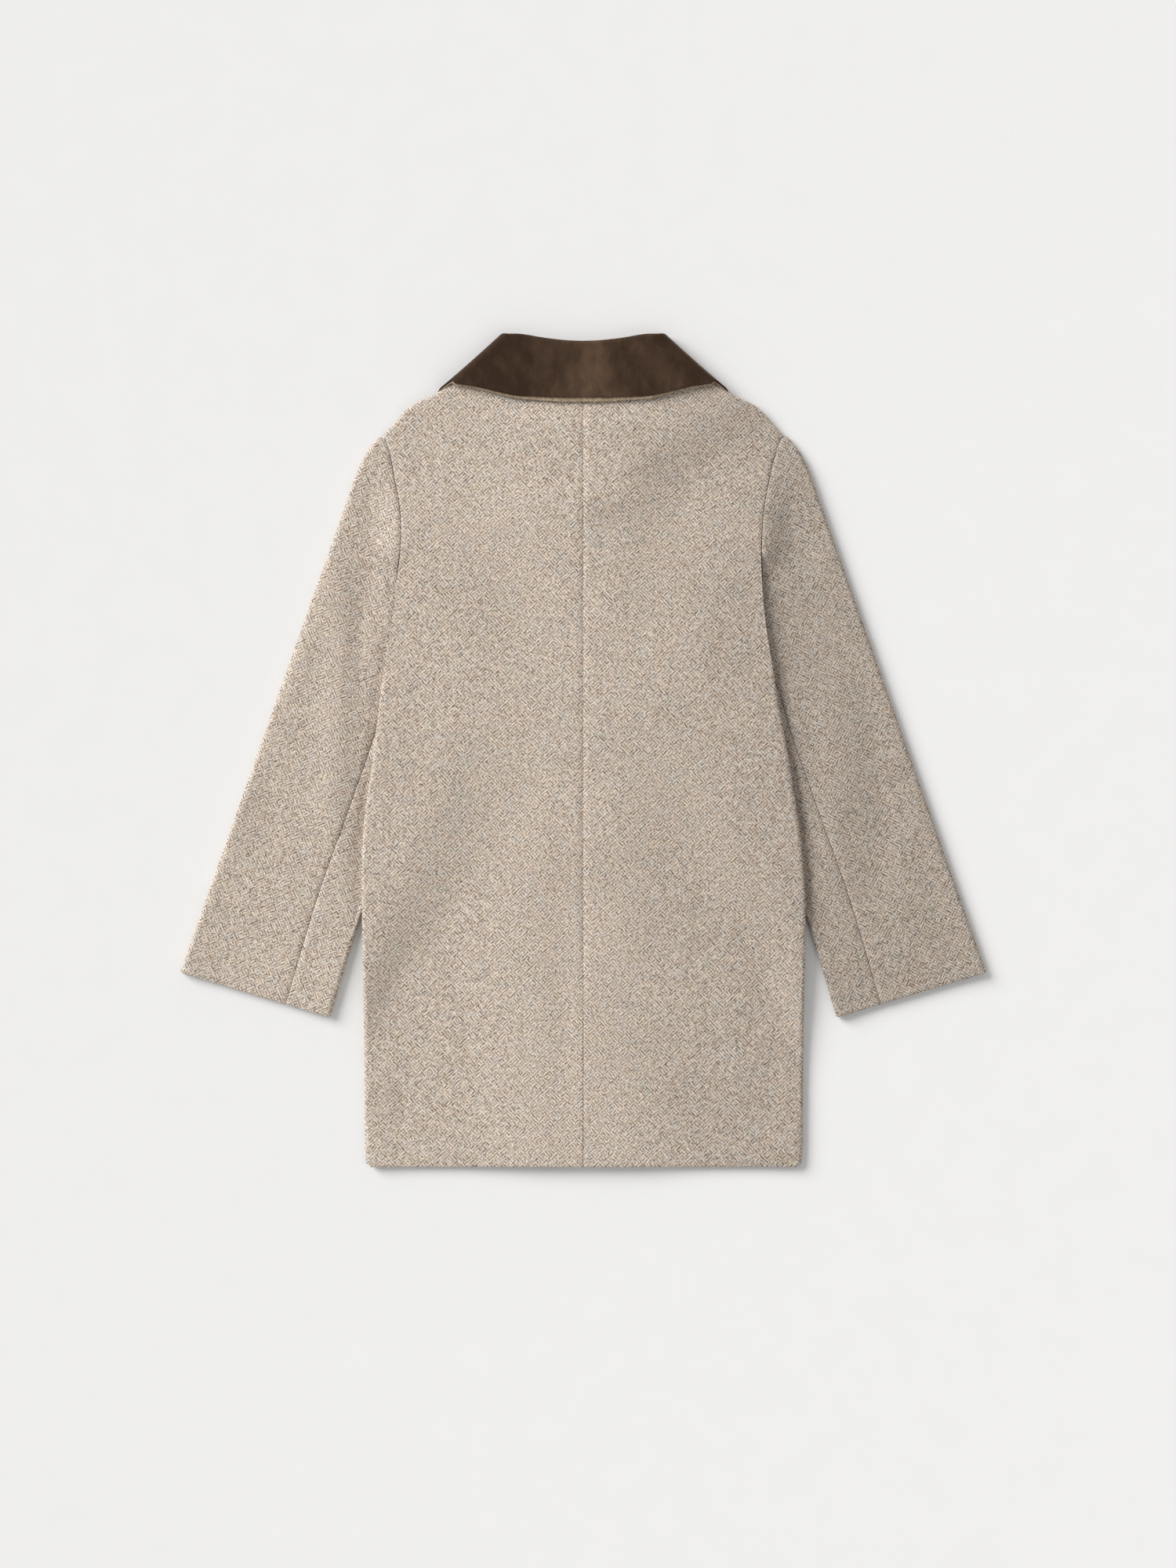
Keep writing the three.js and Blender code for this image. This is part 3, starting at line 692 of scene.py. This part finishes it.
def under_collar():
    fold = np.linspace(*COLLAR_CLOTH_FOLD)
    rows = []
    for row in collar_rows():
        aside = float(smooth(row[0] / COLLAR_SIDE[0][0]))
        proud = mix(*UNDER_COLLAR_PROUD, aside)
        back = 1 if math.cos(row[4]) > 0.99 else 0
        stand = mix(STAND_LENGTH[1], STAND_LENGTH[0], back * (1 - aside))
        legs = list(np.linspace(stand, 1, 4))
        rows.append(collar_points(row, COLLAR_DEPTH, legs, fold, COLLAR_CLOTH_POINTS, proud))
    return both_halves(rows)


# Distance from an edge and thickness there, both as shares of the full thickness
EDGE_RINGS = ((0.0, 0.3), (0.07, 0.62), (0.2, 0.86), (0.42, 0.985))
SHARP_RINGS = ((0.0, 0.7), (0.05, 0.86), (0.12, 0.95), (0.25, 1.0))


def with_rings(grid, thickness, first_sharp=False):
    """Adds rows close to the first and last row, and gives each row its share of the thickness."""
    def ring(border, inner, distance):
        length = np.maximum(np.linalg.norm(inner - border, axis=-1, keepdims=True), 1e-6)
        return border + (inner - border) * np.minimum(distance / length, 0.8)

    first_rings = SHARP_RINGS if first_sharp else EDGE_RINGS
    head = [ring(grid[0], grid[1], share * thickness) for share, _ in first_rings]
    tail = [ring(grid[-1], grid[-2], share * thickness) for share, _ in reversed(EDGE_RINGS)]
    head_sizes = [size for _, size in first_rings]
    tail_sizes = [size for _, size in reversed(EDGE_RINGS)]
    sizes = np.array(head_sizes + [1.0] * (len(grid) - 2) + tail_sizes)
    return np.array([*head, *grid[1:-1], *tail]), sizes


def grid_normals(grid):
    along = np.gradient(grid, axis=0)
    across = np.gradient(grid, axis=1)
    normal = np.cross(along, across)
    return normal / np.maximum(np.linalg.norm(normal, axis=-1, keepdims=True), 1e-12)


def cloth_wall(name, grid, thickness, material, sharp_seam=False):
    """A closed wall with rounded edges about a grid of middle points."""
    grid, row_sizes = with_rings(grid, thickness)
    turned, column_sizes = with_rings(grid.transpose(1, 0, 2), thickness, sharp_seam)
    grid = turned.transpose(1, 0, 2)
    sizes = np.minimum.outer(row_sizes, column_sizes)[..., None]
    offset = grid_normals(grid) * sizes * thickness / 2
    rows, columns = grid.shape[:2]
    upper, lower = grid + offset, grid - offset
    points = np.concatenate([upper.reshape(-1, 3), lower.reshape(-1, 3)]) * MM
    points[:, 1] += Y_SHIFT
    index = np.arange(rows * columns).reshape(rows, columns)
    a, b, c, d = index[:-1, :-1], index[1:, :-1], index[1:, 1:], index[:-1, 1:]
    top = np.stack([a, b, c, d], axis=-1).reshape(-1, 4)
    bottom = np.stack([a, d, c, b], axis=-1).reshape(-1, 4) + rows * columns
    loop = np.concatenate([index[0, :], index[1:, -1], index[-1, -2::-1], index[-2:0:-1, 0]])
    after = np.roll(loop, -1)
    rim = np.stack([loop, after, after + rows * columns, loop + rows * columns], axis=-1)
    faces = np.concatenate([top, bottom, rim])
    mesh = bpy.data.meshes.new(name)
    mesh.from_pydata(points.tolist(), [], faces.tolist())
    mesh.update()
    if signed_volume(points, faces) < 0:
        mesh.flip_normals()
    mesh.polygons.foreach_set("use_smooth", [True] * len(mesh.polygons))
    mesh.materials.append(material)
    piece = bpy.data.objects.new(name, mesh)
    bpy.context.scene.collection.objects.link(piece)
    return piece


def signed_volume(points, faces):
    a, b, c, d = (points[faces[:, k]] for k in range(4))
    return (np.einsum("ij,ij->i", a, np.cross(b, c)) + np.einsum("ij,ij->i", a, np.cross(c, d))).sum()


class Nodes:
    """A short way to add and link a material's nodes."""

    def __init__(self, name):
        self.material = bpy.data.materials.new(name)
        self.material.use_nodes = True
        self.tree = self.material.node_tree
        self.shader = self.tree.nodes["Principled BSDF"]

    def add(self, kind, inputs=(), **settings):
        node = self.tree.nodes.new(kind)
        for key, value in settings.items():
            setattr(node, key, value)
        for key, value in dict(inputs).items():
            self.give(node, key, value)
        return node

    def give(self, node, key, value):
        if isinstance(value, bpy.types.NodeSocket):
            self.tree.links.new(value, node.inputs[key])
        else:
            node.inputs[key].default_value = value

    def maths(self, operation, *values):
        node = self.add("ShaderNodeMath", operation=operation)
        for i, value in enumerate(values):
            self.give(node, i, value)
        return node.outputs[0]

    def blend(self, share, a, b, how="MIX"):
        node = self.add("ShaderNodeMix", data_type="RGBA", blend_type=how)
        self.give(node, 0, share)
        for key, value in ((6, a), (7, b)):
            self.give(node, key, (*value, 1) if isinstance(value, tuple) else value)
        return node.outputs[2]

    def ramp(self, value, stops, how="LINEAR"):
        node = self.add("ShaderNodeValToRGB", {"Fac": value})
        node.color_ramp.interpolation = how
        elements = node.color_ramp.elements
        while len(elements) < len(stops):
            elements.new(0.5)
        for element, (place, colour) in zip(elements, stops):
            element.position = place
            element.color = (*colour, 1) if isinstance(colour, tuple) else (colour, colour, colour, 1)
        return node.outputs[0]

    def coordinates(self, turn=0.0, size=(1, 1, 1)):
        """Object coordinates, turned about Z and counted in features of a size in metres."""
        place = self.add("ShaderNodeTexCoord").outputs["Object"]
        inputs = {"Vector": place, "Rotation": (0, 0, turn), "Scale": size}
        return self.add("ShaderNodeMapping", inputs, vector_type="TEXTURE").outputs[0]

    def noise(self, vector, scale, detail=2.0, roughness=0.5):
        inputs = {"Vector": vector, "Scale": scale, "Detail": detail, "Roughness": roughness}
        return self.add("ShaderNodeTexNoise", inputs).outputs["Fac"]

    def bump(self, height, strength, distance, normal=None):
        node = self.add("ShaderNodeBump", {"Height": height, "Strength": strength, "Distance": distance})
        if normal:
            self.give(node, "Normal", normal)
        return node.outputs[0]

    def set(self, **values):
        for key, value in values.items():
            self.give(self.shader, key.replace("_", " "), value)
        return self.material


# Woollen weave, in metres: strands lean both ways, each a row of short yarn floats
STRAND_PERIOD = 0.0021
FLOAT_SIZE = (0.0012, 0.0029, 0.01)
WAVE_PERIOD_AT_ONE = 0.314
STRAND_LEANS = (math.radians(43), -math.radians(47))

# Features a metre, from the single fibres to the broad patches of tone
FIBRES = 2300.0
FLECKS = 540.0
STRAND_PATCHES = 290.0
HUES = 130.0
TONES = 13.0

# Painted shade: the wool is painted darker towards the wearer's right, between these places on X
PAINTED_SHADE_FROM = -0.02
PAINTED_SHADE_TO = 0.172


def leaning_strands(n, lean):
    """Height of strands that lean one way, from 0 to 1."""
    inputs = {
        "Vector": n.coordinates(lean),
        "Scale": WAVE_PERIOD_AT_ONE / STRAND_PERIOD,
        "Distortion": 2.2,
        "Detail": 1.0,
        "Detail Scale": 1.6,
    }
    wave = n.add("ShaderNodeTexWave", inputs, wave_type="BANDS", bands_direction="X").outputs["Fac"]
    floats = n.noise(n.coordinates(lean, FLOAT_SIZE), 1.0, 2.0, 0.55)
    return n.maths("MULTIPLY_ADD", wave, 0.30, n.maths("MULTIPLY_ADD", floats, 1.0, -0.15))


def wool(name, turn, shade):
    """Salt-and-pepper woollen cloth.

    turn is the way the grain of the piece lies, and shade gives the painted shade's tone at its lighter
    and its darker end, darker towards the wearer's right.
    """
    n = Nodes(name)
    metre = n.coordinates(turn)
    one, other = [leaning_strands(n, turn + lean) for lean in STRAND_LEANS]
    choice = n.ramp(n.noise(metre, STRAND_PATCHES, 1.0), [(0.45, 0.0), (0.55, 1.0)])
    weave = n.maths("MULTIPLY_ADD", n.maths("SUBTRACT", other, one), choice, one)
    fibres = n.noise(metre, FIBRES, 3.0, 0.7)
    flecks = n.noise(metre, FLECKS, 2.0, 0.6)
    colour = n.ramp(weave, [
        (0.22, WOOL_BROWN),
        (0.355, WOOL_TAN),
        (0.47, WOOL_BEIGE),
        (0.58, WOOL_CREAM),
        (0.70, WOOL_WHITE),
    ])
    dark = n.ramp(flecks, [(0.30, 0.7), (0.39, 0.0)])
    colour = n.blend(dark, colour, WOOL_FLECK)
    hue = n.ramp(n.noise(metre, HUES, 2.0), [(0.35, (0.96, 0.99, 1.02)), (0.65, (1.03, 0.995, 0.96))])
    colour = n.blend(1.0, colour, hue, "MULTIPLY")
    tone = n.ramp(n.noise(metre, TONES, 3.0, 0.55), [(0.3, 0.965), (0.7, 1.03)])
    colour = n.blend(1.0, colour, tone, "MULTIPLY")
    fuzz = n.ramp(fibres, [(0.35, 0.86), (0.7, 1.12)])
    colour = n.blend(1.0, colour, fuzz, "MULTIPLY")
    # Painted shade: the colour is multiplied darker towards the wearer's right, where the light falls
    # off
    across = n.add("ShaderNodeSeparateXYZ", {"Vector": n.coordinates()}).outputs["X"]
    painted_shade_width = PAINTED_SHADE_TO - PAINTED_SHADE_FROM
    painted_shade_share = n.maths("MULTIPLY_ADD", across, 1 / painted_shade_width, -PAINTED_SHADE_FROM / painted_shade_width)
    tone_and_painted_light = n.ramp(painted_shade_share, [(0.0, shade[0]), (1.0, shade[1])], "EASE")
    colour = n.blend(1.0, colour, tone_and_painted_light, "MULTIPLY")
    rough = n.bump(weave, 0.5, 0.0007)
    rough = n.bump(fibres, 0.3, 0.0003, rough)
    n.set(Base_Color=colour, Normal=rough, Roughness=n.ramp(fibres, [(0.3, 0.86), (0.7, 1.0)]))
    return n.set(Sheen_Weight=0.25, Sheen_Roughness=0.6, Specular_IOR_Level=0.15)


# Velvet, in metres: brushed patches and strokes, and half the width of the collar's middle, which is
# painted lighter as a painted highlight
VELVET_PATCH = (0.023, 0.038, 0.03)
VELVET_STROKE = (0.006, 0.014, 0.012)
PAINTED_HIGHLIGHT_HALF_WIDTH = 0.045
PILE = 1900.0


def velvet():
    """Dark brown velvet with its pile laid in soft upright patches, and a painted highlight along the
    collar's middle.
    """
    n = Nodes("velvet")
    metre = n.coordinates()
    patches = n.noise(n.coordinates(0.2, VELVET_PATCH), 1.0, 3.0, 0.6)
    strokes = n.noise(n.coordinates(-0.08, VELVET_STROKE), 1.0, 3.0, 0.6)
    pile = n.noise(metre, PILE, 2.0, 0.6)
    across = n.add("ShaderNodeSeparateXYZ", {"Vector": metre}).outputs["X"]
    # Painted highlight: the velvet is painted lighter within this half width of the collar's middle
    middle = n.maths("DIVIDE", n.maths("ABSOLUTE", across), PAINTED_HIGHLIGHT_HALF_WIDTH)
    middle = n.maths("MULTIPLY", n.maths("SUBTRACT", 1.0, n.maths("MINIMUM", middle, 1.0)), 0.24)
    tone_and_painted_light = n.maths("MULTIPLY_ADD", strokes, 0.26, n.maths("MULTIPLY_ADD", patches, 0.6, middle))
    colour = n.ramp(tone_and_painted_light, [(0.38, VELVET_DARK), (0.54, VELVET_MIDDLE), (0.74, VELVET_LIGHT)])
    grain = n.ramp(pile, [(0.3, (0.72, 0.72, 0.72)), (0.7, (1.28, 1.26, 1.24))])
    colour = n.blend(1.0, colour, grain, "MULTIPLY")
    rough = n.bump(tone_and_painted_light, 0.25, 0.0012)
    rough = n.bump(pile, 0.4, 0.0004, rough)
    n.set(Base_Color=colour, Normal=rough, Roughness=n.ramp(pile, [(0.3, 0.8), (0.7, 0.98)]))
    n.set(Sheen_Weight=0.35, Sheen_Roughness=0.4, Sheen_Tint=(0.75, 0.6, 0.48, 1))
    return n.set(Specular_IOR_Level=0.1)


def collar_cloth():
    """Plain tan cloth under the collar."""
    n = Nodes("collar_cloth")
    metre = n.coordinates()
    fibres = n.noise(metre, 1200.0, 3.0, 0.7)
    flecks = n.noise(metre, 380.0, 2.0, 0.6)
    colour = n.ramp(flecks, [(0.3, COLLAR_BROWN), (0.55, COLLAR_TAN), (0.75, COLLAR_PALE)])
    fuzz = n.ramp(fibres, [(0.35, (0.85, 0.85, 0.85)), (0.7, (1.15, 1.15, 1.15))])
    colour = n.blend(1.0, colour, fuzz, "MULTIPLY")
    n.set(Base_Color=colour, Normal=n.bump(fibres, 0.5, 0.0005), Roughness=0.95)
    return n.set(Sheen_Weight=0.2, Sheen_Roughness=0.6, Specular_IOR_Level=0.15)


def horn():
    """Dark brown streaked button."""
    n = Nodes("button")
    streaks = n.noise(n.coordinates(0.6, (0.0035, 0.016, 0.016)), 1.0, 3.0, 0.6)
    colour = n.ramp(streaks, [(0.3, HORN_DARK), (0.7, HORN_LIGHT)])
    return n.set(Base_Color=colour, Roughness=n.ramp(streaks, [(0.3, 0.28), (0.7, 0.42)]))


def floor_material():
    n = Nodes("floor")
    grain = n.noise(n.coordinates(), 30.0, 2.0)
    colour = n.ramp(grain, [(0.3, FLOOR_COLOUR), (0.7, tuple(c * 1.01 for c in FLOOR_COLOUR))])
    return n.set(Base_Color=colour, Roughness=0.95, Specular_IOR_Level=0.0)


# The photograph's frame and the coat's centre in pixels, and the millimetres of a pixel
PHOTO = (1500, 2000)
PHOTO_MM = 0.63
COAT_CENTRE = (744, 955.75)

# The studio, in metres. Each lamp has its name, kind, place, power and size
CAMERA_HEIGHT = 3.6
SENSOR = 36.0
FLOOR_REACH = 12.0
FLOOR_LEVEL = -0.0002
KEY = ("key", "SUN", (-2.6, 1.7, 1.85), 3.1, 0.62)
FILL = ("fill", "AREA", (3.2, -2.0, 5.2), 30, 4.0)
SKY = 0.45


def camera():
    data = bpy.data.cameras.new("camera")
    data.sensor_width = SENSOR
    data.sensor_fit = "AUTO"
    data.lens = data.sensor_width * CAMERA_HEIGHT / (PHOTO[1] * PHOTO_MM * MM)
    data.clip_end = 20
    eye = bpy.data.objects.new("camera", data)
    eye.location = (
        (PHOTO[0] / 2 - COAT_CENTRE[0]) * PHOTO_MM * MM,
        (COAT_CENTRE[1] - PHOTO[1] / 2) * PHOTO_MM * MM + Y_SHIFT,
        CAMERA_HEIGHT,
    )
    bpy.context.scene.collection.objects.link(eye)
    bpy.context.scene.camera = eye


def lamp(name, kind, place, power, size):
    """A lamp that looks at the coat's middle. A sun's size is its angle."""
    data = bpy.data.lights.new(name, kind)
    data.energy = power
    if kind == "SUN":
        data.angle = size
    else:
        data.size = size
    light = bpy.data.objects.new(name, data)
    light.location = place
    light.rotation_euler = (-Vector(place)).to_track_quat("-Z", "Y").to_euler()
    bpy.context.scene.collection.objects.link(light)


def studio():
    """A plain pale floor, two lamps and an even white sky."""
    mesh = bpy.data.meshes.new("floor")
    ends = (-FLOOR_REACH, FLOOR_REACH)
    corners = [(x, y, FLOOR_LEVEL) for y in ends for x in ends]
    mesh.from_pydata(corners, [], [(0, 1, 3, 2)])
    mesh.materials.append(floor_material())
    floor = bpy.data.objects.new("floor", mesh)
    bpy.context.scene.collection.objects.link(floor)
    lamp(*KEY)
    lamp(*FILL)
    world = bpy.data.worlds.new("world")
    world.use_nodes = True
    world.node_tree.nodes["Background"].inputs[0].default_value = (1, 1, 1, 1)
    world.node_tree.nodes["Background"].inputs[1].default_value = SKY
    bpy.context.scene.world = world
    bpy.context.scene.view_settings.view_transform = "Standard"


def declare(piece, node):
    """Rides on the coat's one body and stands for its CAD solid."""
    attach(piece, "root")
    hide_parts(node)


Y_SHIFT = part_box("back_left")[0][1] - HEM_Y * MM

# The sleeves' cloth lies along their outer folds
SLEEVE_SPREAD = 0.3532
SLEEVE_TURN = math.atan(SLEEVE_SPREAD)
# Painted shade of each wool, at its lighter and its darker end: the body is painted darker towards the
# wearer's right, the right sleeve darker all over
BODY_SHADE = (0.98, 0.80)
LEFT_SHADE = (0.98, 0.98)
RIGHT_SHADE = (0.72, 0.72)

WOOLS = {
    "body": wool("wool_body", 0.0, BODY_SHADE),
    "left": wool("wool_sleeve_left", -SLEEVE_TURN, LEFT_SHADE),
    "right": wool("wool_sleeve_right", SLEEVE_TURN, RIGHT_SHADE),
}

for side in SIDES:
    for kind, maker, cloth_turn in (
        ("back", back_panel, "body"),
        ("front", front_panel, "body"),
        ("top_sleeve", top_sleeve, side),
        ("under_sleeve", under_sleeve, side),
    ):
        node = kind + "_" + side
        grid = maker(side)
        piece = cloth_wall(node + "_cloth", grid, CLOTH_SHOWN, WOOLS[cloth_turn], kind == "back")
        under = "front_" + side + "_cloth" if kind == "back" else "under_sleeve_" + side + "_cloth"
        declare(piece, node)

collar_grid = upper_collar()
collar = cloth_wall("upper_collar_velvet", collar_grid, VELVET_SHOWN, velvet())
declare(collar, "upper_collar")
under_grid = under_collar()
under = cloth_wall("under_collar_cloth", under_grid, COLLAR_CLOTH_SHOWN, collar_cloth())
declare(under, "under_collar")

button_look = horn()
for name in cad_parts:
    if name.startswith("button_"):
        button = bpy.data.objects[name]
        button.data.materials.clear()
        button.data.materials.append(button_look)

camera()
studio()
